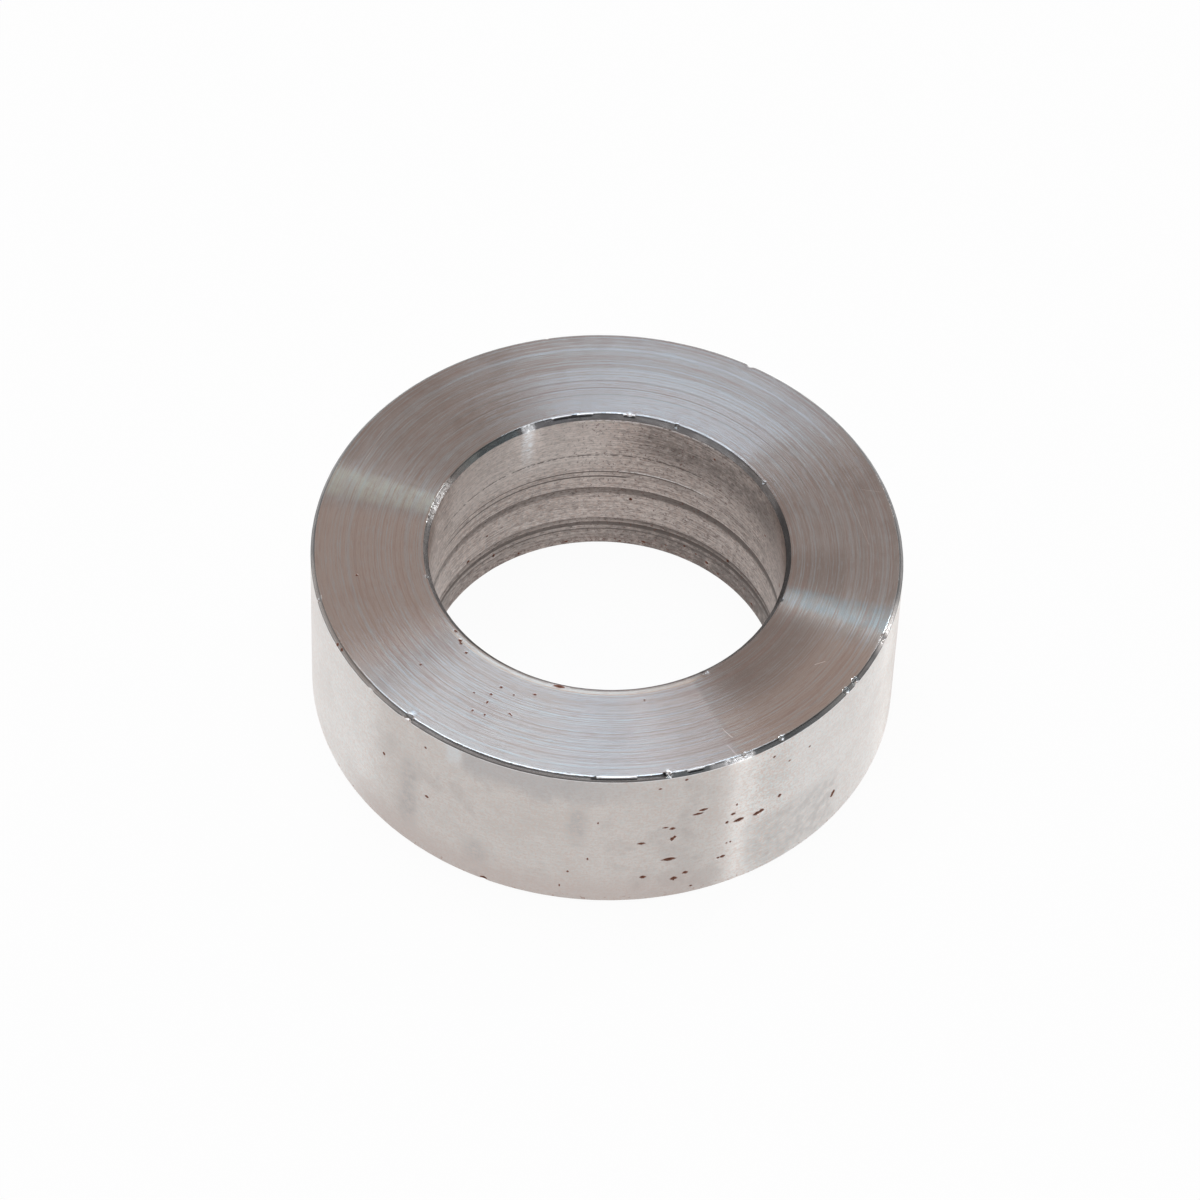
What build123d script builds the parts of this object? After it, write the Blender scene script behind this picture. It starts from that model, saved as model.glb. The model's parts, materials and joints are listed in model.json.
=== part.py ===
"""A plain steel bushing, turned and bored in one piece from round bar.

The bush stands on its lower end face. +Z runs up its bore, and the origin is the middle
of that lower face. Its section is drawn once, beside the axis, and turned round it.
"""
from build123d import *
import os

# The ring, which is 58 mm across outside
BORE_DIAMETER = 35.0
WALL_THICKNESS = 11.5
WIDTH = 19.0

# Edges broken at 45 degrees with a turning tool: the outer edge at both ends, and the
# mouth of the bore at the upper end only, because the bore runs out sharp at its foot
OUTER_EDGE_BREAK = 0.4
BORE_MOUTH_BREAK = 0.5

# Grooves that the boring tool left in the wall of the bore. Each is a sawtooth: a short
# steep side above, where the tool stopped, and a long shallow one below, running out.
STEEP_SIDE = 0.12

# Groove part way down, measured from the upper face to its steep side
MIDDLE_GROOVE_BELOW_FACE = 10.6
MIDDLE_GROOVE_WIDTH = 0.95
MIDDLE_GROOVE_DEPTH = 0.16

# Pair near the foot, the lower one starting where the upper one runs out, measured from
# the lower face to where the lower one runs out in its turn
FOOT_GROOVES_ABOVE_FOOT = 2.15
UPPER_FOOT_GROOVE_WIDTH = 0.6
LOWER_FOOT_GROOVE_WIDTH = 1.05
FOOT_GROOVE_DEPTH = 0.1

bore_radius = BORE_DIAMETER / 2


def blank_section():
    """The ring's section with its broken edges: X is the radius and Y the height."""
    section = Pos(bore_radius, 0) * Rectangle(WALL_THICKNESS, WIDTH, align=(Align.MIN, Align.MIN))
    outer_corners = section.vertices().group_by(Axis.X)[-1]
    section = chamfer(outer_corners, OUTER_EDGE_BREAK)
    bore_mouth_corner = section.vertices().group_by(Axis.X)[0].sort_by(Axis.Y)[-1]
    return chamfer([bore_mouth_corner], BORE_MOUTH_BREAK)


def groove_section(lower_end, width, depth):
    """A sawtooth groove in the bore's wall, running out at the height of its lower end."""
    inside = bore_radius - depth
    steep_side_height = lower_end + width
    return Polygon(
        (inside, steep_side_height),
        (bore_radius, steep_side_height),
        (bore_radius + depth, steep_side_height - STEEP_SIDE),
        (bore_radius, lower_end),
        (inside, lower_end),
        align=None,
    )


def bushing():
    """The finished bush: its section, grooves and all, turned once round the axis."""
    middle_groove = groove_section(
        WIDTH - MIDDLE_GROOVE_BELOW_FACE - MIDDLE_GROOVE_WIDTH, MIDDLE_GROOVE_WIDTH, MIDDLE_GROOVE_DEPTH
    )
    upper_foot_groove = groove_section(
        FOOT_GROOVES_ABOVE_FOOT + LOWER_FOOT_GROOVE_WIDTH, UPPER_FOOT_GROOVE_WIDTH, FOOT_GROOVE_DEPTH
    )
    lower_foot_groove = groove_section(
        FOOT_GROOVES_ABOVE_FOOT, LOWER_FOOT_GROOVE_WIDTH, FOOT_GROOVE_DEPTH
    )
    section = blank_section() - middle_groove - upper_foot_groove - lower_foot_groove
    return revolve(Plane.XZ * section, axis=Axis.Z)


os.makedirs("parts", exist_ok=True)
export_step(bushing(), "parts/bushing.step")
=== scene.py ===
import json
import math

import bmesh
import bpy
import numpy as np
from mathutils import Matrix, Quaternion, Vector


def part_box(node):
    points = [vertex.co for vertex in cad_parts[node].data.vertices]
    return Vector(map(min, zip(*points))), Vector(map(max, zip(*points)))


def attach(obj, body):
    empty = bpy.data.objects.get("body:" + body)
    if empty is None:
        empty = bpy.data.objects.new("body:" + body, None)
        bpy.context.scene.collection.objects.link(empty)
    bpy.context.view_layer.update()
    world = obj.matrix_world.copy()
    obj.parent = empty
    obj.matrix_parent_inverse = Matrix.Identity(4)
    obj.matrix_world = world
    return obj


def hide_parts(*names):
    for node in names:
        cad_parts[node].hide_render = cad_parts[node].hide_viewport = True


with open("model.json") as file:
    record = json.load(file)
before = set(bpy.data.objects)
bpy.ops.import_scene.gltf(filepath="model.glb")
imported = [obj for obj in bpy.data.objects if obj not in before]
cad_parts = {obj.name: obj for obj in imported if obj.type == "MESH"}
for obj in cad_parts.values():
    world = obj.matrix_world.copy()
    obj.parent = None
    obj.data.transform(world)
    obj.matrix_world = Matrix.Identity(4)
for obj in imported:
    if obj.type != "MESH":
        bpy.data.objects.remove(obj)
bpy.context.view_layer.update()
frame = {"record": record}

mm = 0.001


# The camera
# It stands at the front, a little over half a metre off, and looks down into the bore with
# a long lens. It is leant over to the right by a couple of degrees, as the photograph was.
lens_length = 175.3
sensor_width = 36.0
view_elevation = math.radians(48.87)
view_distance = 0.5712
lean = math.radians(2.445)
middle_of_face = Vector((0, 0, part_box("bushing")[1].z))
middle_of_picture = Vector((-0.0005, -0.0038, 0.0157))

stand_off = Vector((0, -math.cos(view_elevation), math.sin(view_elevation))) * view_distance
bpy.ops.object.select_all(action="DESELECT")
bpy.ops.object.camera_add(location=middle_of_face + stand_off)
camera = bpy.context.object
camera.name = "camera"
camera.data.lens = lens_length
camera.data.sensor_width = sensor_width
camera.data.clip_start = 0.01
camera.rotation_mode = "QUATERNION"
level_aim = (middle_of_picture - camera.location).to_track_quat("-Z", "Y")
camera.rotation_quaternion = level_aim @ Quaternion((0, 0, 1), lean)
bpy.context.scene.camera = camera


# The ring
# The whole bush is one ring of plain steel. It was turned outside, bored and faced in the
# lathe, and its edges were broken with the tool. It has since been knocked at the rims, and
# damp has left rust pits in the outside, in the bore and in the upper face.
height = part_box("bushing")[1].z
outside_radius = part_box("bushing")[1].x
bore_mount = next(m for m in frame["record"]["mounts"] if m["name"] == "bore")
bore_radius = bore_mount["dims"]["r_mm"] * mm
middle_of_wall = (outside_radius + bore_radius) / 2
outer_edge_break = 0.4 * mm
bore_mouth_break = 0.5 * mm
face_edge = outside_radius - outer_edge_break
mouth_edge = bore_radius + bore_mouth_break
corner_round = 0.05 * mm
steps_round = 600

# Rows across the bore's wall, as a height over the foot and how far the tool cut in there.
# The middle groove and the pair near the foot are sawteeth, and the rest are fine scores.
bore_cuts = [
    (8.40, 0), (8.28, 0.16), (7.45, 0),
    (3.80, 0), (3.68, 0.10), (3.20, 0), (3.08, 0.10), (2.15, 0),
    (13.14, 0), (13.10, 0.012), (13.06, 0),
    (10.95, 0), (10.90, 0.02), (10.85, 0),
    (10.16, 0), (10.10, 0.03), (10.04, 0),
    (2.05, 0.03), (1.95, 0),
]
plain_bore_rows = [0.7, 1.4, 2.8, 4.5, 5.3, 6.1, 6.8, 9.2, 11.8, 12.5, 13.8, 14.6, 15.4, 16.2, 17.0, 17.8]


def pick(wanted):
    """Selects the vertices of the open mesh whose place is wanted, and nothing else."""
    mesh = bmesh.from_edit_mesh(bpy.context.object.data)
    for vertex in mesh.verts:
        vertex.select = bool(wanted(vertex.co))
    mesh.select_flush_mode()
    bmesh.update_edit_mesh(bpy.context.object.data)


def in_bore(place):
    return place.x < bore_radius + 0.3 * mm


def on_outside(place):
    return place.x > outside_radius - 0.01 * mm


def on_upper_face(place):
    return place.z > height - 0.01 * mm


def on_lower_face(place):
    return place.z < 0.01 * mm


# The wall's section is drawn as a plane beside the axis, and its corners are broken
bpy.ops.object.select_all(action="DESELECT")
bpy.ops.mesh.primitive_plane_add(
    size=1, location=(middle_of_wall, 0, height / 2), rotation=(math.pi / 2, 0, 0)
)
ring = bpy.context.object
ring.name = "turned_ring"
bpy.ops.transform.resize(value=(outside_radius - bore_radius, 1, height))
bpy.ops.object.transform_apply(location=True, rotation=True, scale=True)
bpy.ops.object.mode_set(mode="EDIT")
bpy.ops.mesh.select_mode(type="VERT")
pick(lambda place: place.x > middle_of_wall)
bpy.ops.mesh.bevel(offset=outer_edge_break, affect="VERTICES")
pick(lambda place: in_bore(place) and place.z > height / 2)
bpy.ops.mesh.bevel(offset=bore_mouth_break, affect="VERTICES")
bpy.ops.mesh.select_all(action="SELECT")
bpy.ops.mesh.bevel(offset=corner_round, segments=2, affect="VERTICES")
bpy.ops.mesh.select_all(action="SELECT")
bpy.ops.mesh.delete(type="ONLY_FACE")

# Its outline is cut into rows, and the tool grooves are pulled out of the bore's side
pick(on_outside)
bpy.ops.mesh.subdivide(number_cuts=18)
pick(on_upper_face)
bpy.ops.mesh.subdivide(number_cuts=11)
pick(on_lower_face)
bpy.ops.mesh.subdivide(number_cuts=5)
pick(lambda place: place.x > face_edge and place.z > height - outer_edge_break)
bpy.ops.mesh.subdivide(number_cuts=5)
pick(lambda place: place.x > face_edge and place.z < outer_edge_break)
bpy.ops.mesh.subdivide(number_cuts=3)
pick(lambda place: place.x < mouth_edge and place.z > height - bore_mouth_break)
bpy.ops.mesh.subdivide(number_cuts=5)


def cut_row(wanted, place, direction):
    """Adds a row to the wanted side of the outline, at this place along a direction."""
    pick(wanted)
    bpy.ops.mesh.bisect(plane_co=Vector(direction) * place, plane_no=direction)


# Rows close beside each corner keep its small rounding from spreading over the flats
beside = 0.1 * mm
for side, low_corner, high_corner in (
    (on_outside, outer_edge_break, height - outer_edge_break),
    (in_bore, 0, height - bore_mouth_break),
):
    cut_row(side, low_corner + beside, (0, 0, 1))
    cut_row(side, high_corner - beside, (0, 0, 1))
for side, inner_corner in ((on_upper_face, mouth_edge), (on_lower_face, bore_radius)):
    for rows_in in (1, 2):
        cut_row(side, inner_corner + rows_in * beside, (1, 0, 0))
        cut_row(side, face_edge - rows_in * beside, (1, 0, 0))
for row_height in plain_bore_rows + [row_height for row_height, depth in bore_cuts]:
    cut_row(in_bore, row_height * mm, (0, 0, 1))
for row_height, depth in bore_cuts:
    pick(lambda place: in_bore(place) and abs(place.z - row_height * mm) < 0.01 * mm)
    bpy.ops.transform.translate(value=(depth * mm, 0, 0))

# The outline is spun round the axis, and the two ends of the turn are closed
bpy.ops.mesh.select_all(action="SELECT")
bpy.ops.mesh.spin(steps=steps_round, angle=2 * math.pi, center=(0, 0, 0), axis=(0, 0, 1))
bpy.ops.mesh.select_all(action="SELECT")
bpy.ops.mesh.remove_doubles(threshold=0.001 * mm)
bpy.ops.mesh.normals_make_consistent(inside=False)
bpy.ops.object.mode_set(mode="OBJECT")

# Rust pits in the outside: degrees round the ring from +X, mm below the upper face, then
# length round the ring, height and depth in mm
outside_pits = [
    (290.7, 6.2, 1.0, 0.32, 0.10), (289.6, 6.65, 1.1, 0.30, 0.08), (283.4, 7.85, 0.6, 0.22, 0.04),
    (284.8, 8.15, 0.6, 0.38, 0.08), (278.9, 9.9, 0.85, 0.32, 0.08), (284.8, 9.75, 0.45, 0.50, 0.10),
    (285.3, 9.5, 0.35, 0.40, 0.08), (285.1, 11.4, 0.26, 0.30, 0.04), (284.4, 12.85, 1.4, 0.48, 0.14),
    (279.5, 15.15, 0.65, 0.42, 0.10), (285.6, 16.0, 0.75, 0.52, 0.14), (283.6, 16.2, 0.55, 0.20, 0.03),
    (287.8, 15.4, 0.62, 0.42, 0.10), (291.9, 9.5, 0.55, 0.36, 0.08), (295.8, 9.25, 0.36, 0.36, 0.06),
    (298.4, 9.5, 1.15, 0.48, 0.12), (297.0, 8.25, 0.55, 0.34, 0.07), (297.7, 7.0, 0.20, 0.36, 0.03),
    (302.4, 9.65, 1.0, 0.48, 0.12), (303.3, 9.55, 0.65, 0.50, 0.12), (307.4, 8.6, 0.48, 0.48, 0.09),
    (296.0, 12.5, 0.24, 0.24, 0.02), (296.8, 12.5, 0.24, 0.24, 0.02), (295.3, 14.4, 0.55, 0.36, 0.08),
    (294.4, 14.4, 0.35, 0.28, 0.05), (322.7, 14.5, 0.55, 0.60, 0.06), (322.3, 14.8, 0.50, 0.50, 0.04),
    (282.0, 1.8, 0.40, 0.24, 0.03), (287.0, 1.0, 0.38, 0.28, 0.04), (305.4, 2.0, 0.38, 0.28, 0.03),
    (309.2, 3.9, 0.34, 0.24, 0.02), (314.2, 3.7, 0.34, 0.24, 0.02), (289.1, 17.7, 0.40, 0.20, 0.02),
    (224.5, 8.2, 0.38, 0.46, 0.06), (235.7, 10.0, 0.48, 0.34, 0.06), (235.3, 2.7, 0.30, 0.30, 0.03),
    (265.1, 14.4, 0.26, 0.28, 0.04), (263.6, 16.7, 0.18, 0.40, 0.04), (248.5, 18.4, 0.75, 0.45, 0.10),
    (255.2, 18.0, 0.32, 0.22, 0.03), (268.8, 12.2, 0.20, 0.36, 0.03), (270.5, 6.6, 0.20, 0.30, 0.02),
    (37.0, 12.0, 0.80, 0.40, 0.10), (52.0, 5.5, 0.45, 0.38, 0.07), (118.0, 14.2, 0.60, 0.34, 0.08),
    (131.0, 8.6, 0.42, 0.36, 0.06), (167.0, 15.6, 0.52, 0.40, 0.08), (95.0, 3.8, 0.34, 0.26, 0.04),
    (207.8, 0.30, 0.36, 0.26, 0.02), (209.4, 0.22, 0.42, 0.20, 0.02), (297.5, 3.8, 0.40, 0.26, 0.03),
]

# Pits in the bore, in the same terms
bore_pits = [
    (83.0, 12.1, 0.36, 0.36, 0.10), (143.0, 15.05, 0.48, 0.46, 0.12), (131.0, 16.9, 0.38, 0.36, 0.10),
    (46.0, 15.5, 0.34, 0.32, 0.08), (54.6, 17.8, 0.38, 0.36, 0.08), (63.5, 17.0, 0.28, 0.26, 0.05),
    (134.0, 13.3, 0.26, 0.24, 0.04), (54.0, 2.0, 0.30, 0.26, 0.04), (27.0, 6.1, 0.30, 0.28, 0.04),
    (11.0, 8.2, 0.45, 0.40, 0.05), (49.6, 18.4, 0.30, 0.24, 0.06), (77.9, 18.3, 0.50, 0.26, 0.06),
    (32.2, 18.2, 0.45, 0.30, 0.06), (59.0, 17.4, 0.22, 0.22, 0.04), (86.0, 18.7, 0.34, 0.22, 0.05),
    (70.2, 17.9, 0.20, 0.20, 0.03), (104.0, 18.6, 0.36, 0.24, 0.05), (121.0, 18.5, 0.30, 0.26, 0.05),
    (250.0, 11.0, 0.40, 0.36, 0.08), (290.0, 16.5, 0.36, 0.30, 0.08), (222.0, 6.4, 0.30, 0.28, 0.05),
]

# Specks in the upper face: degrees, mm from the axis, then the same sizes
face_specks = [
    (222.2, 18.64, 0.46, 0.26, 0.04), (223.2, 18.80, 0.40, 0.22, 0.03), (226.9, 19.22, 0.30, 0.26, 0.03),
    (222.1, 23.50, 0.24, 0.22, 0.02), (242.2, 20.54, 0.36, 0.28, 0.03), (241.2, 21.79, 0.36, 0.26, 0.03),
    (251.5, 19.90, 0.36, 0.24, 0.03), (241.7, 22.82, 0.24, 0.32, 0.02), (240.1, 24.43, 0.28, 0.24, 0.03),
    (243.1, 24.30, 0.22, 0.26, 0.02), (248.0, 23.05, 0.44, 0.16, 0.03), (248.7, 23.20, 0.30, 0.14, 0.02),
    (237.4, 22.54, 0.22, 0.20, 0.02), (246.4, 20.78, 0.24, 0.18, 0.02), (282.4, 19.43, 0.22, 0.22, 0.02),
    (191.2, 24.70, 0.28, 0.26, 0.03), (257.2, 18.20, 1.20, 0.36, 0.05), (218.5, 18.25, 0.44, 0.20, 0.02),
]


def read_places(mesh):
    """Every vertex's angle in degrees, its distance from the axis and its height, in mm."""
    places = np.empty(3 * len(mesh.vertices))
    mesh.vertices.foreach_get("co", places)
    x, y, z = places.reshape(-1, 3).T / mm
    return np.degrees(np.arctan2(y, x)) % 360, np.hypot(x, y), z


def nearness(angle, across, arc_radius, mark, margin):
    """1 in the middle of a mark, 0 on its outline or this margin out, and less beyond."""
    mark_angle, mark_place, length, breadth, depth = mark
    turn = (angle - mark_angle + 180) % 360 - 180
    along = np.radians(turn) * arc_radius / (length / 2 + margin)
    over = (across - mark_place) / (breadth / 2 + margin)
    pointed = 1.35
    return 1 - (np.abs(along) ** pointed + np.abs(over) ** pointed) ** (1 / pointed)


def mark_maps(mesh, spread, margin=0.0):
    """For every vertex, how near it is to a mark and how deep the mark is there, in mm."""
    angle, radius, z = read_places(mesh)
    outside, bore, top = outside_radius / mm, bore_radius / mm, height / mm
    on_bore_wall = (radius < bore + 0.3) & (z > 0.005) & (z < top - 0.3)
    groups = [
        (outside_pits, radius > outside - 0.3, top - z, outside),
        (bore_pits, on_bore_wall, top - z, bore),
        (face_specks, z > top - 0.1, radius, radius),
    ]
    far_off = -9.0
    nearest = np.full(len(angle), far_off)
    depths = np.zeros(len(angle))
    for marks, there, across, arc_radius in groups:
        for mark in marks:
            near = np.where(there, nearness(angle, across, arc_radius, mark, margin), far_off)
            nearest = np.maximum(nearest, near)
            bowl = np.clip(near + spread, 0, 1)
            depths = np.maximum(depths, mark[4] * bowl * bowl * (3 - 2 * bowl))
    return nearest, depths


# Knocks on the rims: degrees, mm from the axis, height over the foot, how far the metal was
# driven inwards and down, and how wide the dent is, all in mm
rim_knocks = [
    (230.8, 28.8, 18.8, 0.18, 0.12, 0.42), (229.6, 28.9, 18.6, 0.08, 0.04, 0.30),
    (283.4, 28.7, 18.9, 0.08, 0.16, 0.32), (324.8, 28.75, 18.8, 0.12, 0.14, 0.35),
    (328.0, 28.8, 18.8, 0.16, 0.10, 0.40), (340.0, 28.8, 18.8, 0.10, 0.10, 0.35),
    (307.2, 28.7, 18.9, 0.08, 0.08, 0.28), (299.0, 28.7, 18.9, 0.06, 0.10, 0.25),
    (220.5, 28.9, 18.6, 0.08, 0.04, 0.35), (196.0, 28.8, 18.8, 0.08, 0.08, 0.30),
    (248.5, 28.9, 0.3, 0.05, -0.04, 0.35), (62.0, 28.8, 18.8, 0.14, 0.12, 0.45),
    (104.0, 28.8, 18.8, 0.08, 0.08, 0.30), (148.0, 28.9, 0.3, 0.07, -0.06, 0.40),
    (84.8, 17.95, 18.95, -0.08, 0.02, 0.28), (69.1, 17.9, 18.9, -0.10, 0.08, 0.26),
    (32.1, 18.0, 18.9, -0.10, 0.08, 0.24), (341.9, 18.0, 18.9, -0.10, 0.08, 0.24),
    (302.9, 18.1, 18.9, -0.14, 0.12, 0.34), (194.8, 18.0, 18.9, -0.10, 0.08, 0.26),
    (162.4, 17.8, 18.8, -0.08, 0.05, 0.35), (167.0, 17.8, 18.8, -0.06, 0.04, 0.35),
]


def near_knock(angle, radius, z):
    """Which vertices lie close enough to a knock to be moved by it."""
    close = np.zeros(len(angle), bool)
    for knock_angle, knock_radius, knock_height, _, _, width in rim_knocks:
        turn = (angle - knock_angle + 180) % 360 - 180
        away = np.sqrt(
            (np.radians(turn) * radius) ** 2 + (radius - knock_radius) ** 2 + (z - knock_height) ** 2
        )
        close |= away < width + 0.02
    return close


def subdivide_where(mesh, close, cuts):
    """Cuts the faces that touch a wanted vertex into smaller ones."""
    bpy.ops.object.mode_set(mode="EDIT")
    bpy.ops.mesh.select_mode(type="FACE")
    editing = bmesh.from_edit_mesh(mesh)
    for face in editing.faces:
        face.select_set(any(close[vertex.index] for vertex in face.verts))
    bmesh.update_edit_mesh(mesh)
    bpy.ops.mesh.subdivide(number_cuts=cuts)
    bpy.ops.mesh.select_mode(type="VERT")
    bpy.ops.object.mode_set(mode="OBJECT")


# Small faces where the pits and the knocks will be
mesh = ring.data
for margin, cuts in ((0.32, 3), (0.06, 1)):
    nearest = mark_maps(mesh, 0, margin)[0]
    subdivide_where(mesh, nearest > 0, cuts)
subdivide_where(mesh, near_knock(*read_places(mesh)), 2)

# The pits are sunk, and the knocks driven in, by displacing the metal along its normals
nearest, depths = mark_maps(mesh, 0.25)
rust = mesh.attributes.new("rust", "FLOAT", "POINT")
rust.data.foreach_set("value", np.clip(0.5 + nearest / 2, 0, 1).astype(np.float32))
deepest = depths.max()
pit_group = ring.vertex_groups.new(name="pits")
for index in np.nonzero(depths > 0)[0]:
    pit_group.add([int(index)], float(depths[index] / deepest), "REPLACE")
sink = ring.modifiers.new("sink pits", "DISPLACE")
sink.vertex_group = "pits"
sink.mid_level = 0
sink.strength = -deepest * mm
bpy.ops.object.modifier_apply(modifier="sink pits")

bpy.ops.object.mode_set(mode="EDIT")
for angle, radius, z, inwards, down, width in rim_knocks:
    facing = Vector((math.cos(math.radians(angle)), math.sin(math.radians(angle)), 0))
    struck = facing * radius * mm + Vector((0, 0, z * mm))
    pick(lambda place: (place - struck).length < 0.35 * width * mm)
    bpy.ops.transform.translate(
        value=-facing * inwards * mm + Vector((0, 0, -down * mm)),
        use_proportional_edit=True,
        proportional_edit_falloff="SMOOTH",
        proportional_size=width * mm,
    )

# A thin burr was rolled over the breaks along these arcs of the upper face's two edges, in
# degrees, and it stands out this many mm over the outer break or inwards over the mouth
outer_burrs = [
    (231.5, 233.4, 0.03), (238, 251, 0.015), (251, 269, 0.03), (270, 277.4, 0.12), (277.9, 282.4, 0.02),
    (284, 287.4, 0.03), (287.4, 290.4, 0.12), (290.4, 292.6, 0.04), (12, 24, 0.02),
]
mouth_burrs = [
    (83, 86.6, -0.12), (86.6, 96.4, -0.02), (96.6, 101.4, -0.10), (103.5, 109.7, -0.08), (156, 172, -0.04),
]
for start, end, stands_out in outer_burrs + mouth_burrs:
    edge = face_edge if stands_out > 0 else mouth_edge

    def on_lip(place):
        """Whether a place is on this edge of the upper face, along this arc."""
        angle = math.degrees(math.atan2(place.y, place.x)) % 360
        beside_edge = abs(math.hypot(place.x, place.y) - edge) < 0.07 * mm
        return start < angle < end and beside_edge and place.z > height - 0.06 * mm

    pick(on_lip)
    spread = 1 + stands_out * mm / edge
    bpy.ops.transform.resize(value=(spread, spread, 1), center_override=(0, 0, 0))
bpy.ops.object.mode_set(mode="OBJECT")

# The tool chattered and the edges wore, so the rims and grooves are a little uneven, but
# both end faces stay flat
ring_radius, ring_height = read_places(mesh)[1:]
mouth_foot = (height - bore_mouth_break) / mm
top = height / mm
off_faces = (ring_height > 0.005) & (ring_height < top - 0.005)
on_edges = off_faces & (
    (ring_radius > face_edge / mm - 0.06) & ((ring_height > top - 0.6) | (ring_height < 0.6))
    | (ring_radius < mouth_edge / mm + 0.06) & ((ring_height > mouth_foot - 0.1) | (ring_height < 0.06))
)
cut_into = (ring_radius > bore_radius / mm + 0.005) & (ring_radius < bore_radius / mm + 0.2)
in_grooves = cut_into & (ring_height < top - 1)
uneven_group = ring.vertex_groups.new(name="uneven")
uneven_group.add([int(index) for index in np.nonzero(on_edges)[0]], 1.0, "REPLACE")
uneven_group.add([int(index) for index in np.nonzero(in_grooves)[0]], 0.8, "REPLACE")
unevenness = bpy.data.textures.new("uneven edge", "CLOUDS")
unevenness.noise_scale = 0.9 * mm
unevenness.noise_depth = 3
chatter = ring.modifiers.new("uneven edges", "DISPLACE")
chatter.vertex_group = "uneven"
chatter.texture = unevenness
chatter.texture_coords = "LOCAL"
chatter.mid_level = 0.75
chatter.strength = 0.03 * mm
bpy.ops.object.modifier_apply(modifier="uneven edges")

# Nothing stands above the upper face or below the lower one
bpy.ops.object.mode_set(mode="EDIT")
for level, beyond in ((height, lambda place: place.z > height), (0, lambda place: place.z < 0)):
    pick(beyond)
    bpy.ops.transform.resize(value=(1, 1, 0), center_override=(0, 0, level))
bpy.ops.object.mode_set(mode="OBJECT")
bpy.ops.object.select_all(action="DESELECT")
ring.select_set(True)
bpy.context.view_layer.objects.active = ring
bpy.ops.object.shade_smooth_by_angle(angle=math.radians(28))


class Value:
    """A value in a material. Arithmetic on it adds Math nodes, and node() adds any other."""

    def __init__(self, tree, socket=None):
        self.tree = tree
        self.socket = socket

    def node(self, kind, settings, inputs, output=0):
        made = self.tree.nodes.new(kind)
        for name, setting in settings.items():
            setattr(made, name, setting)
        for name, given in inputs.items():
            if isinstance(given, Value):
                self.tree.links.new(given.socket, made.inputs[name])
            else:
                made.inputs[name].default_value = given
        return Value(self.tree, made.outputs[output])

    def maths(self, operation, *operands):
        return self.node("ShaderNodeMath", {"operation": operation}, dict(enumerate(operands)))

    def __add__(self, other):
        return self.maths("ADD", self, other)

    __radd__ = __add__

    def __sub__(self, other):
        return self.maths("SUBTRACT", self, other)

    def __rsub__(self, other):
        return self.maths("SUBTRACT", other, self)

    def __mul__(self, other):
        return self.maths("MULTIPLY", self, other)

    __rmul__ = __mul__

    def __truediv__(self, other):
        return self.maths("DIVIDE", self, other)

    def __pow__(self, other):
        return self.maths("POWER", self, other)

    def larger(self, other):
        return self.maths("MAXIMUM", self, other)

    def rise(self, start, end):
        """0 up to the start, 1 from the end on, and a smooth slope between them."""
        return self.node(
            "ShaderNodeMapRange",
            {"interpolation_type": "SMOOTHSTEP"},
            {"Value": self, "From Min": start, "From Max": end, "To Min": 0.0, "To Max": 1.0},
        )

    def band(self, middle, half_width, fade):
        """1 within a band about the middle, fading to 0 outside it."""
        return 1 - self.maths("ABSOLUTE", self - middle).rise(half_width, half_width + fade)

    def noise_along(self, frequency, detail=3.0, roughness=0.6):
        """Noise that changes with this one value only."""
        return self.node(
            "ShaderNodeTexNoise",
            {"noise_dimensions": "1D"},
            {"W": self, "Scale": frequency, "Detail": detail, "Roughness": roughness},
        )

    def vector(self, x, y, z):
        """A place made of three values."""
        return self.node("ShaderNodeCombineXYZ", {}, {"X": x, "Y": y, "Z": z})

    def noise_at(self, place, frequency, detail=3.0, roughness=0.6, distortion=0.0):
        """Noise in space."""
        return self.node(
            "ShaderNodeTexNoise",
            {},
            {"Vector": place, "Scale": frequency, "Detail": detail, "Roughness": roughness,
             "Distortion": distortion},
        )

    def tint(self, share, plain, other):
        """The plain colour with a share of the other."""
        return self.node(
            "ShaderNodeMix", {"data_type": "RGBA"}, {0: share, 6: plain, 7: other}, 2
        )


def place_on_face(angle, radius):
    """X and Y, in mm, of a place given in degrees round from +X and mm from the axis."""
    return radius * math.cos(math.radians(angle)), radius * math.sin(math.radians(angle))


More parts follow.
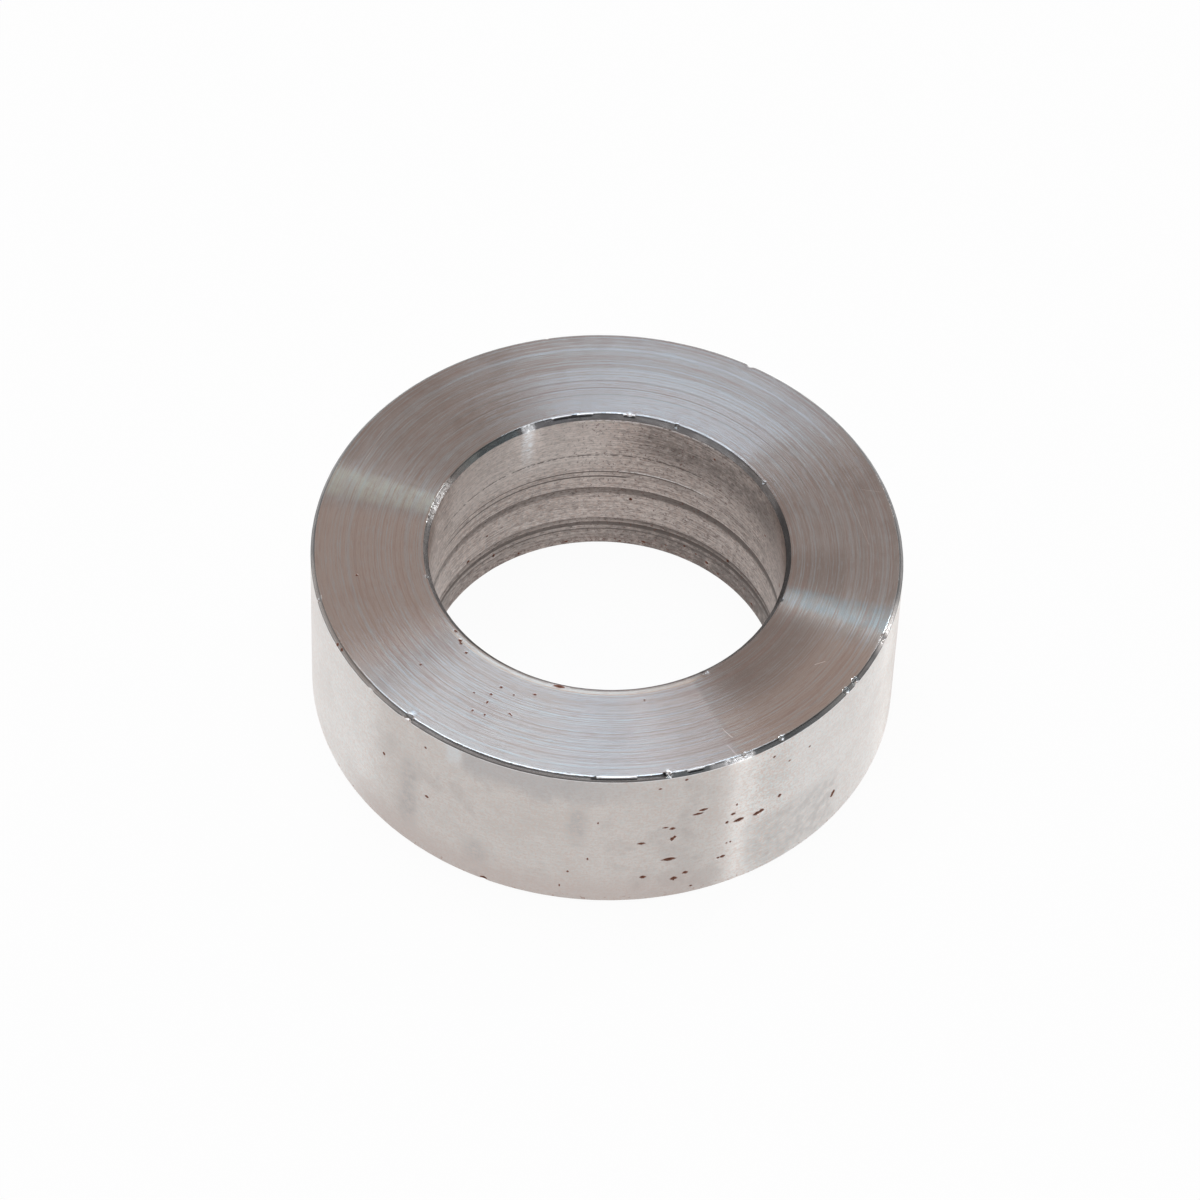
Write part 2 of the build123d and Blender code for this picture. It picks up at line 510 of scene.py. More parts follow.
class Steel:
    """One finish of the ring, measured in mm: its material and the places that patterns use."""

    def __init__(self, name, roughness):
        self.material = bpy.data.materials.new(name)
        self.material.use_nodes = True
        self.tree = self.material.node_tree
        self.shader = self.tree.nodes["Principled BSDF"]
        self.shader.inputs["Metallic"].default_value = 1.0
        self.shader.inputs["Roughness"].default_value = roughness

        # The tool's marks run round the axis, and a quarter turn lays the shine across them
        self.shader.inputs["Anisotropic"].default_value = 1.0
        self.shader.inputs["Anisotropic Rotation"].default_value = 0.25
        start = Value(self.tree)
        self.start = start
        self.place = start.node("ShaderNodeVectorMath", {"operation": "SCALE"}, {
            0: start.node("ShaderNodeTexCoord", {}, {}, "Object"), "Scale": 1 / mm,
        })
        apart = start.node("ShaderNodeSeparateXYZ", {}, {0: self.place})
        outputs = apart.socket.node.outputs
        self.x, self.y, self.z = (Value(self.tree, outputs[axis]) for axis in "XYZ")
        self.radius = (self.x * self.x + self.y * self.y) ** 0.5
        self.east = self.x / self.radius
        self.north = self.y / self.radius
        self.rust = start.node("ShaderNodeAttribute", {"attribute_name": "rust"}, {}, "Fac")

    def round_the_ring(self, turns, across, spacing):
        """A place stretched along the tool's path: patterns there are long arcs or lines."""
        return self.start.vector(self.east * turns, self.north * turns, across * spacing)

    def between(self, start, end, fade_in, fade_out):
        """1 on the arc from start to end and 0 beyond its fades, in degrees round from +X."""
        start, end = math.radians(start - fade_in), math.radians(end + fade_out)
        past_start = self.north * math.cos(start) - self.east * math.sin(start)
        before_end = self.east * math.sin(end) - self.north * math.cos(end)
        fade_in, fade_out = math.sin(math.radians(fade_in)), math.sin(math.radians(fade_out))
        return past_start.rise(0.0, fade_in) * before_end.rise(0.0, fade_out)

    def scratch(self, start, end, half_width):
        """1 on a straight line across the face, from one place to another, and 0 off it."""
        (x0, y0), (x1, y1) = (place_on_face(*start), place_on_face(*end))
        length = math.hypot(x1 - x0, y1 - y0)
        along_x, along_y = (x1 - x0) / length, (y1 - y0) / length
        along = (self.x - x0) * along_x + (self.y - y0) * along_y
        off = (self.y - y0) * along_x - (self.x - x0) * along_y
        ends = along.rise(0.0, 0.15) * (1 - along.rise(length - 0.15, length))
        return off.band(0.0, half_width * 0.5, half_width * 0.5) * ends

    def spot(self, angle, radius, half_width):
        """1 in the middle of a round spot on the face, fading to 0 at its edge."""
        x, y = place_on_face(angle, radius)
        away = ((self.x - x) ** 2 + (self.y - y) ** 2) ** 0.5
        return 1 - away.rise(half_width * 0.4, half_width)

    def finish(self, colour, roughness, bump_height, bump_depth):
        normal = self.start.node(
            "ShaderNodeBump", {}, {"Strength": 1.0, "Distance": bump_depth * mm, "Height": bump_height}
        )
        for name, value in (("Base Color", colour), ("Roughness", roughness), ("Normal", normal)):
            self.tree.links.new(value.socket, self.shader.inputs[name])
        return self.material


# Steel colours: the dull one also paints shade, the dark one shade and dirt, the pale one polish and glints
dull_and_shaded_steel = (0.33, 0.30, 0.285, 1)
shaded_and_grimy_steel = (0.15, 0.13, 0.12, 1)
polished_and_glinting = (0.97, 0.97, 0.98, 1)
rust_brown = (0.33, 0.165, 0.12, 1)
rust_black = (0.070, 0.030, 0.022, 1)


def rusted(steel, colour, roughness):
    """Rust in the pits, ragged at its edge and black in the middle, over the bare steel."""
    ragged = steel.start.noise_at(steel.place, 4.0, 4.0, 0.75)
    near_rust = steel.rust + (ragged - 0.5) * 0.62
    halo = near_rust.rise(0.36, 0.58)
    heart = near_rust.rise(0.68, 1.02)
    browned = colour.tint(halo, colour, rust_brown)
    blackened = colour.tint(heart, browned, rust_black)
    return blackened, roughness * (1 - halo) + halo * 0.85, heart


def polished_burr_glints(steel):
    """1 where the burrs are polished and painted as glints: whole where they are thick, dotted where thin."""
    flecks = steel.start.noise_at(steel.place, 2.6, 2.0, 0.7)
    glinting = None
    for start, end, stands_out in outer_burrs + mouth_burrs:
        edge = face_edge if stands_out > 0 else mouth_edge
        half_width = 0.01 + 0.42 * abs(stands_out)
        line = steel.radius.band(edge / mm + 0.35 * stands_out, half_width, 0.03)
        line = line * steel.between(start, end, 0.3, 0.3) * (flecks + 4 * abs(stands_out)).rise(0.56, 0.66)
        glinting = line if glinting is None else glinting.larger(line)
    return glinting


def struck_nick(steel, colour):
    """The sharp nick at the front of the outer rim: painted shade blackens its notch, a painted glint its
    raised side.
    """
    notch = steel.spot(282.8, face_edge / mm + 0.02, 0.24)
    raised_side = steel.spot(283.45, face_edge / mm - 0.18, 0.20)
    notched = steel.start.tint(notch, colour, (0.02, 0.02, 0.022, 1))
    return steel.start.tint(raised_side, notched, polished_and_glinting)


def faced_finish():
    """The end faces: fine rings left by the facing tool, scratched a little since."""
    steel = Steel("faced_end", 0.24)
    start = steel.start
    fine_rings = steel.radius.noise_along(5.0, 2.0, 0.7)
    broad_rings = steel.radius.noise_along(0.9, 2.0, 0.5)
    long_arcs = start.noise_at(steel.round_the_ring(0.4, steel.radius, 8.0), 1.0, 1.0, 0.5)
    dashes = start.noise_at(steel.round_the_ring(13.0, steel.radius, 7.0), 1.0, 2.0, 0.6)
    clouds = start.noise_at(steel.place, 0.22, 5.0, 0.62)
    mottle = start.noise_at(steel.place, 0.8, 4.0, 0.65)

    # The rings vary in brightness, and the steel between them is clouded
    shade = 0.35 * fine_rings + 0.15 * long_arcs + 0.25 * dashes + 0.25 * broad_rings
    colour = start.tint(shade.rise(0.38, 0.62), (0.47, 0.46, 0.455, 1), (0.555, 0.56, 0.57, 1))
    colour = start.tint(clouds.rise(0.48, 0.72) * 0.35 + mottle.rise(0.5, 0.7) * 0.12, colour, dull_and_shaded_steel)

    # Painted light, the overhead box's reflection, makes the back paler and bluer, more so in the inner half
    inner_half = 1 - steel.radius.rise(22.5, 24.5)
    back_reflection = steel.between(47, 102, 8, 22) * inner_half
    colour = start.tint(back_reflection * 0.60, colour, (0.64, 0.70, 0.77, 1))
    blue_back = steel.between(44, 84, 10, 26) * (1 - inner_half)
    colour = start.tint(blue_back * 0.30, colour, (0.58, 0.67, 0.76, 1))
    # A few rings there stand out with a painted bluish highlight, and others are dark
    standing_out = steel.radius.band(26.7, 0.05, 0.08).larger(steel.radius.band(23.8, 0.05, 0.08))
    standing_out = standing_out * steel.between(38, 125, 6, 12) * fine_rings.rise(0.3, 0.5)
    colour = start.tint(standing_out * 0.7, colour, (0.62, 0.70, 0.78, 1))
    dark_rings = steel.radius.band(22.4, 0.04, 0.06).larger(steel.radius.band(21.4, 0.04, 0.06))
    dark_rings = dark_rings.larger(steel.radius.band(20.5, 0.03, 0.05)) * steel.between(30, 130, 10, 15)
    colour = start.tint(dark_rings * 0.55, colour, dull_and_shaded_steel)

    # Painted shade darkens the face at the back left, front right and right; painted light pales its left and
    # front
    colour = start.tint(steel.between(116, 148, 10, 8) * 0.22, colour, dull_and_shaded_steel)
    colour = start.tint(steel.between(174, 212, 6, 10) * 0.70, colour, (0.63, 0.58, 0.55, 1))
    colour = start.tint(steel.between(232, 256, 16, 16) * 0.42, colour, (0.69, 0.685, 0.685, 1))
    colour = start.tint(steel.between(268, 278, 14, 12) * 0.45, colour, (0.66, 0.71, 0.77, 1))
    colour = start.tint(steel.between(283, 297.0, 12, 2.2) * 0.66, colour, (0.71, 0.705, 0.72, 1))
    outer_part = steel.radius.rise(20.5, 25.5)
    colour = start.tint(steel.between(299.5, 334, 3, 5) * outer_part * 0.70, colour, (0.65, 0.59, 0.55, 1))
    shaded_patch = steel.between(307, 334, 8, 10) * (1 - outer_part)
    colour = start.tint(shaded_patch * 0.55, colour, dull_and_shaded_steel)
    colour = start.tint(steel.between(347.5, 358, 2, 8) * inner_half * 0.45, colour, dull_and_shaded_steel)
    # The two thin streaks are painted with faint blue and green tints, as painted reflections
    right_streak_tint = steel.between(342.5, 346.5, 3.0, 2.5) * (0.6 + 0.4 * mottle.rise(0.4, 0.6))
    colour = start.tint(right_streak_tint * 0.75, colour, (0.42, 0.52, 0.585, 1))
    left_streak_tint = steel.between(162, 167, 3.0, 3.0) * (0.6 + 0.4 * mottle.rise(0.4, 0.6))
    colour = start.tint(left_streak_tint * 0.75, colour, (0.63, 0.70, 0.66, 1))
    # A pale band rings the front of the mouth, a dim line its back right, and a smudge lies by the front rim
    pale_rim = steel.radius.band(mouth_edge / mm + 0.4, 0.10, 0.32) * steel.between(222, 296, 10, 8)
    colour = start.tint(pale_rim * 0.75, colour, (0.86, 0.81, 0.74, 1))
    dim_edge = steel.radius.band(mouth_edge / mm, 0.03, 0.04) * steel.between(34, 80, 5, 3)
    colour = start.tint(dim_edge * 0.6, colour, shaded_and_grimy_steel)
    smudge = steel.spot(231.0, 28.05, 0.65) * mottle.rise(0.35, 0.60)
    colour = start.tint(smudge * 0.55, colour, (0.26, 0.28, 0.32, 1))

    # Thin lines of oily blue and brown film lie along the tool's path all over it
    clear = 1 - shaded_patch * 0.6
    colour = start.tint(long_arcs.rise(0.56, 0.64) * 0.30 * clear, colour, (0.54, 0.68, 0.77, 1))
    colour = start.tint((1 - long_arcs).rise(0.58, 0.66) * 0.30, colour, (0.47, 0.37, 0.35, 1))
    colour = start.tint(dashes.rise(0.56, 0.66) * 0.28 * clear, colour, (0.54, 0.68, 0.77, 1))
    colour = start.tint((1 - dashes).rise(0.56, 0.66) * 0.28, colour, (0.48, 0.37, 0.35, 1))

    # Scratches cross the upper end and the burrs at its two edges are polished, and both are painted with
    # glints
    scratches = None
    for from_place, to_place, half_width, strength in (
        ((326.1, 24.5), (328.6, 25.2), 0.05, 0.8), ((297.9, 25.0), (298.7, 26.5), 0.035, 0.8),
        ((296.9, 27.0), (297.5, 28.6), 0.03, 0.7), ((18.0, 24.9), (4.3, 25.7), 0.03, 0.4),
        ((157.1, 26.4), (147.5, 26.8), 0.03, 0.4), ((20.5, 26.4), (18.5, 28.3), 0.03, 0.4),
    ):
        line = steel.scratch(from_place, to_place, half_width) * strength
        scratches = line if scratches is None else scratches.larger(line)
    upper_end = steel.z.rise(1.0, 2.0)
    bright_edges = polished_burr_glints(steel) * upper_end
    colour = start.tint(scratches.larger(bright_edges) * upper_end, colour, polished_and_glinting)
    colour = start.tint(upper_end, colour, struck_nick(steel, colour))
    roughness = 0.19 + 0.06 * long_arcs + 0.15 * bright_edges
    colour, roughness, heart = rusted(steel, colour, roughness)
    ridges = fine_rings * 0.7 + broad_rings * 0.3 - heart * 0.8
    return steel.finish(colour, roughness, ridges, 0.012)


def turned_finish():
    """The outside: turned fine and clouded, with rust in its pits; its front is smudged and painted darker as
    shade.
    """
    steel = Steel("turned_outside", 0.3)
    start = steel.start
    below = height / mm - steel.z
    fine_lines = steel.z.noise_along(4.0, 3.0, 0.7)
    dashes = start.noise_at(steel.round_the_ring(30.0, steel.z, 5.0), 1.0, 2.0, 0.6)
    clouds = start.noise_at(steel.place, 0.20, 5.0, 0.65)
    mottle = start.noise_at(steel.place, 1.0, 5.0, 0.75)
    grain = start.noise_at(steel.place, 4.0, 3.0, 0.65)
    handled_and_shaded = steel.between(228, 294, 12, 10)

    shade = 0.25 * clouds + 0.30 * mottle + 0.20 * dashes + 0.25 * grain
    colour = start.tint(shade.rise(0.43, 0.57), (0.67, 0.625, 0.595, 1), (0.91, 0.88, 0.855, 1))
    colour = start.tint(grain.rise(0.51, 0.60) * 0.42, colour, (0.62, 0.74, 0.76, 1))
    colour = start.tint((1 - grain).rise(0.51, 0.60) * 0.42, colour, (0.75, 0.58, 0.51, 1))
    # Painted shade and handling smudges darken the front
    colour = start.tint(handled_and_shaded * 0.55, colour, (0.56, 0.51, 0.48, 1))
    # Painted light makes the two sides paler
    pale_sides = steel.between(186, 214, 8, 14).larger(steel.between(315, 336, 12, 14))
    colour = start.tint(pale_sides * 0.36, colour, (0.96, 0.95, 0.94, 1))
    smudges = clouds.rise(0.50, 0.66) * (0.08 + 0.30 * handled_and_shaded) + mottle.rise(0.50, 0.66) * 0.22
    colour = start.tint(smudges, colour, (0.46, 0.42, 0.40, 1))
    # Under the top at the front left lie a painted bluish grey reflection and a small painted bluish
    # highlight
    uneven_below = below + (clouds - 0.5) * 6 + (mottle - 0.5) * 2
    blue_grey = steel.between(244.5, 262, 2.0, 25) * (1 - uneven_below.rise(2.2, 4.6))
    colour = start.tint(blue_grey * 0.45, colour, (0.40, 0.40, 0.415, 1))
    pale_blue = steel.between(241.0, 242.5, 1.8, 1.4) * (1 - uneven_below.rise(1.4, 4.0))
    colour = start.tint(pale_blue * 0.40, colour, (0.72, 0.79, 0.84, 1))
    dark_bands = steel.between(230.5, 231.5, 3.0, 3.0) * below.rise(3.0, 9.0) * (1 - below.rise(14.0, 18.0))
    dark_bands = dark_bands.larger(steel.between(266.0, 267.0, 2.5, 2.5) * below.band(7.0, 0.5, 4.0))
    dark_bands = dark_bands.larger(steel.between(246.0, 247.0, 3.5, 3.5) * below.band(14.8, 0.5, 2.5))
    dark_bands = dark_bands * (mottle + grain).rise(0.70, 1.15)
    colour = start.tint(dark_bands * 0.48, colour, (0.40, 0.375, 0.37, 1))
    cloudy_corner = steel.between(301, 321, 3, 4) * below.band(14.4, 2.5, 2.5) * mottle.rise(0.36, 0.56)
    colour = start.tint(cloudy_corner * 0.40, colour, (0.44, 0.42, 0.41, 1))
    # A dashed painted glint runs along the wall just under the upper break
    colour = start.tint(below.band(0.46, 0.03, 0.04) * dashes.rise(0.35, 0.50) * 0.5, colour, polished_and_glinting)
    # Painted shade darkens the front towards the floor
    dusky_foot = steel.between(222, 286, 14, 10) * below.rise(13.5, 17.5)
    colour = start.tint(dusky_foot * 0.46, colour, (0.54, 0.455, 0.425, 1))
    foot_specks = below.rise(17.6, 18.5) * start.noise_at(steel.place, 2.2, 3.0, 0.7).rise(0.60, 0.68)
    colour = start.tint(foot_specks * 0.7, colour, rust_brown)
    roughness = 0.26 + 0.08 * mottle + 0.04 * dashes
    colour, roughness, heart = rusted(steel, colour, roughness)
    ridges = fine_lines * 0.3 + dashes * 0.3 + mottle * 0.5 + grain * 0.2 - heart * 0.8
    return steel.finish(colour, roughness, ridges, 0.012)


def groove_shade(below, steep_side, run_out, strength):
    """Painted shade in one groove of the bore: a black line at its steep side, and grey to its end."""
    line = below.band(steep_side + 0.03, 0.04, 0.04)
    land = below.rise(steep_side - 0.03, steep_side + 0.03) * (1 - below.rise(run_out - 0.15, run_out + 0.10))
    return (land * strength).larger(line * 0.85)


def bored_finish():
    """The bore: coarser tool marks, painted shade in the grooves, and stains on the upper wall."""
    steel = Steel("bored_wall", 0.35)
    start = steel.start
    below = height / mm - steel.z
    fine_lines = steel.z.noise_along(4.5, 3.0, 0.75)
    long_lines = start.noise_at(steel.round_the_ring(2.2, steel.z, 4.5), 1.0, 3.0, 0.7)
    dashes = start.noise_at(steel.round_the_ring(30.0, steel.z, 5.5), 1.0, 2.0, 0.6)
    mottle = start.noise_at(steel.place, 1.2, 4.0, 0.72)
    specks = start.noise_at(steel.place, 3.4, 3.0, 0.7)

    # The bore's steel is dull and oily, and also painted darker as shade inside the bore
    shade = 0.20 * fine_lines + 0.30 * long_lines + 0.25 * dashes + 0.25 * mottle
    colour = start.tint(shade.rise(0.42, 0.58), (0.34, 0.285, 0.26, 1), (0.66, 0.585, 0.545, 1))
    colour = start.tint(dashes.rise(0.60, 0.70) * 0.40, colour, (0.86, 0.82, 0.79, 1))
    colour = start.tint(specks.rise(0.50, 0.66) * 0.30, colour, (0.56, 0.60, 0.62, 1))
    colour = start.tint((1 - specks).rise(0.50, 0.66) * 0.35, colour, (0.60, 0.44, 0.38, 1))
    # Painted light pales the upper left of the bore
    pale_left = steel.between(98, 148, 14, 10) * (1 - below.rise(6.0, 9.0))
    colour = start.tint(pale_left * 0.40, colour, (0.80, 0.745, 0.71, 1))
    # Painted shade darkens the grooves, the right side, the wall under the mouth's right and the bottom
    grime_and_shade = below.band(16.85, 0.05, 0.05) * 0.8
    for steep_side, run_out, strength in ((10.6, 11.5, 0.52), (15.2, 15.7, 0.34), (15.82, 16.35, 0.54)):
        grime_and_shade = grime_and_shade.larger(groove_shade(below, steep_side, run_out, strength))
    broken = 1 - dashes.rise(0.46, 0.60)
    scores = below.band(8.2, 0.04, 0.05) * steel.between(64, 150, 6, 10)
    scores = scores.larger(below.band(8.9, 0.07, 0.06) * steel.between(86, 152, 3, 10))
    scores = scores.larger(below.band(5.7, 0.05, 0.07) * steel.between(60, 155, 10, 10) * broken)
    between_scores = below.band(8.5, 0.3, 0.15) * steel.between(30, 112, 10, 8)
    bright_scores = below.band(8.02, 0.03, 0.05) * steel.between(58, 86, 5, 3)
    bright_scores = bright_scores.larger(below.band(0.60, 0.04, 0.05) * steel.between(56, 98, 8, 6))
    dark_dashes = (1 - dashes).rise(0.58, 0.68)
    stain = steel.between(24, 76, 12, 12) * (1 - below.rise(3.0, 7.5)) * mottle.rise(0.15, 0.75)
    stain = stain.larger(steel.between(30, 54, 12, 14) * (1 - below.rise(1.0, 8.0)) * 0.42)
    under_mouth = steel.between(-16, 6, 6, 22) * (1 - below.rise(0.6, 3.0)) * 0.45
    right_side = steel.between(0, 60, 20, 40) * 0.26 * below.rise(0.0, 5.0)
    foot = below.rise(14.6, 15.4) * 0.14 + below.rise(15.9, 16.6) * 0.34 * mottle.rise(0.35, 0.55)
    grime_and_shade = grime_and_shade + scores * 0.80 + between_scores * 0.16 + dark_dashes * 0.36 + stain * 0.66
    grime_and_shade = grime_and_shade + under_mouth + right_side + foot
    colour = start.tint(grime_and_shade.rise(0.0, 1.0), colour, shaded_and_grimy_steel)
    # Painted glints brighten the lip of a score and a line near the mouth
    colour = start.tint(bright_scores * dashes.rise(0.36, 0.50) * 0.6, colour, polished_and_glinting)
    speckled = specks.rise(0.57, 0.66) * (0.35 + 0.45 * steel.between(24, 96, 15, 15))
    speckled = speckled.larger(below.rise(17.4, 18.6) * specks.rise(0.50, 0.60) * 0.7)
    colour = start.tint(speckled, colour, (0.17, 0.095, 0.078, 1))
    # A painted highlight streaks the upper left, where the bore mirrors a lamp
    lamp_glare = steel.between(118.0, 119.6, 2.6, 2.0) * (1 - below.rise(2.0, 7.2))
    colour = start.tint(lamp_glare * (0.25 + 0.6 * dashes.rise(0.50, 0.60)), colour, (0.84, 0.87, 0.90, 1))
    roughness = 0.27 + 0.10 * mottle + 0.06 * dashes + 0.06 * lamp_glare
    colour, roughness, heart = rusted(steel, colour, roughness)
    ridges = fine_lines * 0.3 + long_lines * 0.3 + dashes * 0.3 + mottle * 0.4 - heart * 0.8
    return steel.finish(colour, roughness, ridges, 0.020)


def broken_edge_finish():
    """The broken edges: narrow cones painted dark as shade, ringed by the tool, worn, with painted
    highlights.
    """
    steel = Steel("broken_edge", 0.28)
    start = steel.start
    worn = start.noise_at(steel.round_the_ring(9.0, steel.radius, 3.0), 1.0, 3.0, 0.6)
    flecks = start.noise_at(steel.place, 3.2, 3.0, 0.7).rise(0.47, 0.56)
    ringed = steel.radius + (worn - 0.5) * 0.06
    outer = steel.radius.rise(middle_of_wall / mm - 1, middle_of_wall / mm + 1)
    mouth = 1 - outer
    # The cones are painted dark grey, as painted shade
    colour = start.tint(worn.rise(0.35, 0.65), (0.20, 0.203, 0.208, 1), (0.31, 0.312, 0.316, 1))

    # The outer break: painted shade at the front, painted light at the left, and a painted highlight at the
    # right
    dark_front = steel.between(242, 281, 6, 4) * outer
    colour = start.tint(dark_front * 0.40, colour, (0.12, 0.115, 0.112, 1))
    pale_left = steel.between(190, 221, 8, 8) * outer
    colour = start.tint(pale_left * 0.65, colour, (0.50, 0.475, 0.455, 1))
    pale_right = steel.between(339, 347, 4, 6) * outer
    colour = start.tint(pale_right * 0.75, colour, (0.72, 0.70, 0.69, 1))
    slate = steel.between(284, 326, 2, 5) * outer
    colour = start.tint(slate * 0.50, colour, (0.33, 0.365, 0.375, 1))
    lamp_glare = steel.between(292.3, 300.6, 1.0, 0.8) * outer
    colour = start.tint(lamp_glare * 0.80, colour, (0.82, 0.81, 0.81, 1))
    sparkle = steel.between(295.2, 300.4, 0.8, 0.8) * outer * flecks
    ring_line = ringed.band(face_edge / mm + 0.24, 0.03, 0.05) * (1 - steel.between(286, 340, 3, 4))
    colour = start.tint(ring_line * 0.35, colour, (0.55, 0.53, 0.52, 1))

    # The mouth's break: grey, slate at the back left, and painted shade dark at the back and nearly black at
    # the right
    dark_back = steel.between(84, 101, 4, 4) * mouth
    colour = start.tint(dark_back * 0.50, colour, (0.11, 0.11, 0.11, 1))
    grey_back = steel.between(106, 116, 3, 3) * mouth
    colour = start.tint(grey_back * 0.55, colour, (0.40, 0.39, 0.40, 1))
    dark_right = steel.between(-16, 14, 8, 16) * mouth
    colour = start.tint(dark_right * 0.80, colour, (0.05, 0.05, 0.052, 1))
    slate_left = steel.between(123, 140, 2, 12) * mouth
    colour = start.tint(slate_left * 0.55, colour, (0.24, 0.32, 0.34, 1))
    # A painted glare and glints lie at the left, and at the back left where the bore mirrors a lamp
    sparkle = sparkle.larger(steel.between(117.4, 119.4, 2.0, 1.4) * mouth * (0.4 + 0.6 * flecks))
    glare_left = steel.between(157, 164, 8, 12) * mouth
    colour = start.tint(glare_left * 0.70, colour, (0.62, 0.615, 0.61, 1))
    sparkle = sparkle.larger(glare_left * flecks * 0.6)

    rusty_front = steel.between(226, 300, 8, 8) * mouth * (0.4 + 0.6 * worn.rise(0.35, 0.6))
    colour = start.tint(rusty_front * 0.85, colour, (0.055, 0.032, 0.026, 1))

    # Black lines run along the corners, and a black painted shadow lies under the thick burrs
    corners = ringed.band(face_edge / mm + 0.06, 0.03, 0.04)
    corners = corners.larger(ringed.band(outside_radius / mm - 0.04, 0.02, 0.03) * 0.7)
    corners = corners.larger(ringed.band(mouth_edge / mm - 0.06, 0.03, 0.04) * steel.between(36, 172, 5, 5))
    under_burr = steel.between(269, 277.4, 0.5, 0.3).larger(steel.between(287.6, 290.2, 0.5, 0.5))
    under_burr = under_burr * steel.radius.band(face_edge / mm + 0.19, 0.05, 0.03)
    under_mouth_burr = steel.between(83.2, 86.4, 0.5, 0.5).larger(steel.between(97, 109, 1.0, 1.0))
    under_burr = under_burr.larger(under_mouth_burr * steel.radius.band(mouth_edge / mm - 0.18, 0.05, 0.04))
    colour = start.tint((corners * 0.45).larger(under_burr * 0.9), colour, (0.03, 0.03, 0.032, 1))
    # Painted glints lie on a scratch, two spots and the burrs
    sparkle = sparkle.larger(steel.scratch((283.5, 28.5), (283.9, 29.0), 0.05) * 0.8)
    sparkle = sparkle.larger(steel.spot(307.4, 28.77, 0.14)).larger(steel.spot(283.9, 28.97, 0.12))
    sparkle = sparkle.larger(polished_burr_glints(steel))
    colour = start.tint(sparkle, colour, polished_and_glinting)
    colour = struck_nick(steel, colour)
    roughness = 0.24 + 0.06 * worn + 0.12 * sparkle
    colour, roughness, heart = rusted(steel, colour, roughness)
    return steel.finish(colour, roughness, ring_line * 0.6 + worn * 0.4 + sparkle * 0.8, 0.015)


# Each surface gets its own finish, told apart by where its faces lie and which way they look
finishes = [faced_finish(), turned_finish(), bored_finish(), broken_edge_finish()]
for material in finishes:
    mesh.materials.append(material)
FACED, TURNED, BORED, BROKEN = range(4)
for face in mesh.polygons:
    middle = face.center
    radius = math.hypot(middle.x, middle.y)
    level_with_face = middle.z > height - 0.02 * mm and face.normal.z > 0.9
    if level_with_face or mouth_edge < radius < face_edge and abs(face.normal.z) > 0.8:
        face.material_index = FACED
    elif radius < middle_of_wall and middle.z < height - bore_mouth_break:
        face.material_index = BORED if middle.z > 0.05 * mm else FACED
    elif radius > middle_of_wall and outer_edge_break < middle.z < height - outer_edge_break:
        face.material_index = TURNED
    else:
        face.material_index = BROKEN

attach(ring, "root")
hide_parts("bushing")


# The floor
# A round sheet of white card lies under the ring and sweeps up all round at its edge, well
# out of the picture. It looks plain white and keeps a faint shadow.
floor_radius = 1.2
sweep_height = 0.45
sweep_steps = 8
bpy.ops.object.select_all(action="DESELECT")
bpy.ops.mesh.primitive_circle_add(vertices=96, radius=floor_radius, fill_type="NGON")
floor = bpy.context.object
floor.name = "floor"
bpy.ops.object.mode_set(mode="EDIT")
bpy.ops.mesh.select_mode(type="EDGE")
bpy.ops.mesh.select_all(action="DESELECT")
bpy.ops.mesh.select_non_manifold()
step_angle = math.pi / 2 / sweep_steps
for step in range(1, sweep_steps + 1):
    rise = sweep_height * (math.cos((step - 1) * step_angle) - math.cos(step * step_angle))
    reach = floor_radius + sweep_height * math.sin(step * step_angle)
    before = floor_radius + sweep_height * math.sin((step - 1) * step_angle)
    bpy.ops.mesh.extrude_edges_move(TRANSFORM_OT_translate={"value": (0, 0, rise)})
    bpy.ops.transform.resize(value=(reach / before, reach / before, 1), center_override=(0, 0, 0))
bpy.ops.mesh.select_all(action="SELECT")
bpy.ops.mesh.normals_make_consistent(inside=True)
bpy.ops.object.mode_set(mode="OBJECT")
bpy.ops.object.shade_smooth()


def card_material():
    """White card: bare white to the lens and partly so in the steel, and shaded otherwise."""
    material = bpy.data.materials.new("white_card")
    material.use_nodes = True
    tree = material.node_tree
    tree.nodes.clear()
    start = Value(tree)
    path = start.node("ShaderNodeLightPath", {}, {})
    rays = path.socket.node.outputs
    seen = Value(tree, rays["Is Camera Ray"])
    mirrored = Value(tree, rays["Is Glossy Ray"])
    through = Value(tree, rays["Is Transmission Ray"])
    white_share = seen * 0.95 + through * 0.90 + mirrored * 0.90
    card = start.node("ShaderNodeBsdfDiffuse", {}, {"Color": (0.90, 0.90, 0.90, 1)})
    white = start.node("ShaderNodeEmission", {}, {"Color": (1, 1, 1, 1), "Strength": 1.0})
    surface = start.node("ShaderNodeMixShader", {}, {0: white_share, 1: card, 2: white})
    output = tree.nodes.new("ShaderNodeOutputMaterial")
    tree.links.new(surface.socket, output.inputs["Surface"])
    return material


floor.data.materials.append(card_material())


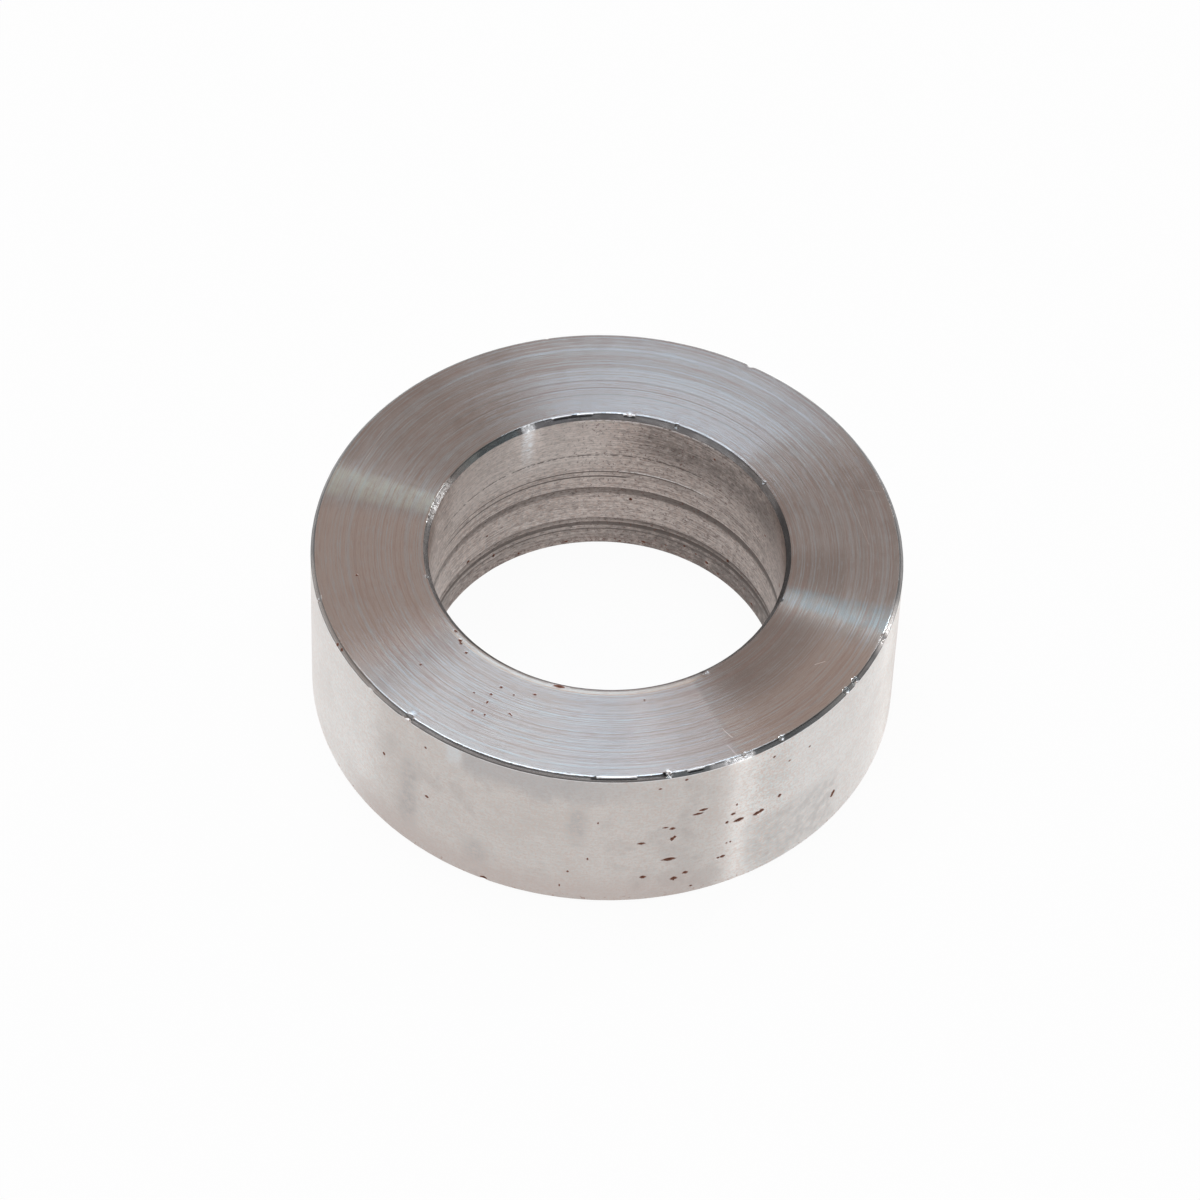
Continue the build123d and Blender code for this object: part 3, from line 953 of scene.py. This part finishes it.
# The lamps
# A broad cool soft box hangs overhead. Three small lamps at the right put the pale bands on
# the outside, in the bore and on the broken edges, and one at the back puts the two thin
# streaks on the upper face.
def soft_box(name, azimuth, elevation, distance, width, tall, brightness, colour, turn=0.0):
    """A flat lamp at this place round the ring, aimed at it. Angles are in degrees."""
    azimuth, elevation = math.radians(azimuth), math.radians(elevation)
    place = Vector((
        math.cos(elevation) * math.cos(azimuth),
        math.cos(elevation) * math.sin(azimuth),
        math.sin(elevation),
    )) * distance
    bpy.ops.object.light_add(type="AREA", location=place + middle_of_face)
    lamp = bpy.context.object
    lamp.name = name
    lamp.data.shape = "RECTANGLE"
    lamp.data.size = width
    lamp.data.size_y = tall
    lamp.data.color = colour
    lamp.data.energy = brightness * math.pi * width * tall
    lamp.rotation_mode = "QUATERNION"
    lamp.rotation_quaternion = place.to_track_quat("Z", "Y") @ Quaternion((0, 0, 1), math.radians(turn))


soft_box("overhead_box", 153.6, 83.7, 1.0, 0.939, 0.753, 2.62, (0.786, 0.905, 1.0), turn=88.6)
soft_box("front_right_strip", -44, 6.5, 1.0, 0.075, 0.17, 18.0, (0.95, 0.98, 1.0))
soft_box("front_right_spot", -41, 33, 1.0, 0.08, 0.10, 18.0, (1.0, 1.0, 1.0))
soft_box("right_spot", 22, 11, 1.0, 0.10, 0.08, 9.0, (1.0, 1.0, 1.0))
soft_box("back_spot", 45.4, 45.4, 1.0, 0.030, 0.030, 185.0, (0.90, 0.98, 1.0))


# The black card
# A sheet of black card stands to the right of the camera and behind it, and keeps the broken
# edges and the right of the bore dark.
bpy.ops.object.select_all(action="DESELECT")
bpy.ops.mesh.primitive_plane_add(size=1)
black_card = bpy.context.object
black_card.name = "black_card"
bpy.ops.transform.resize(value=(0.9, 0.62, 1))
bpy.ops.object.transform_apply(location=False, rotation=False, scale=True)
facing_ring = Vector((0.63, -0.48, 0.61))
black_card.location = facing_ring * 0.95
black_card.rotation_mode = "QUATERNION"
black_card.rotation_quaternion = facing_ring.to_track_quat("Z", "Y")
black = bpy.data.materials.new("black_card")
black.use_nodes = True
black.node_tree.nodes["Principled BSDF"].inputs["Base Color"].default_value = (0.06, 0.06, 0.065, 1)
black.node_tree.nodes["Principled BSDF"].inputs["Roughness"].default_value = 0.9
black_card.data.materials.append(black)


# The room
# Beyond the lamps and the cards the room is dim and a little warm, and the steel shows that
# wherever it looks past them.
world = bpy.data.worlds.new("dim_room")
world.use_nodes = True
bpy.context.scene.world = world
room = world.node_tree.nodes["Background"]
room.inputs["Color"].default_value = (0.465, 0.385, 0.350, 1)
room.inputs["Strength"].default_value = 1.0

bpy.context.scene.view_settings.view_transform = "Standard"
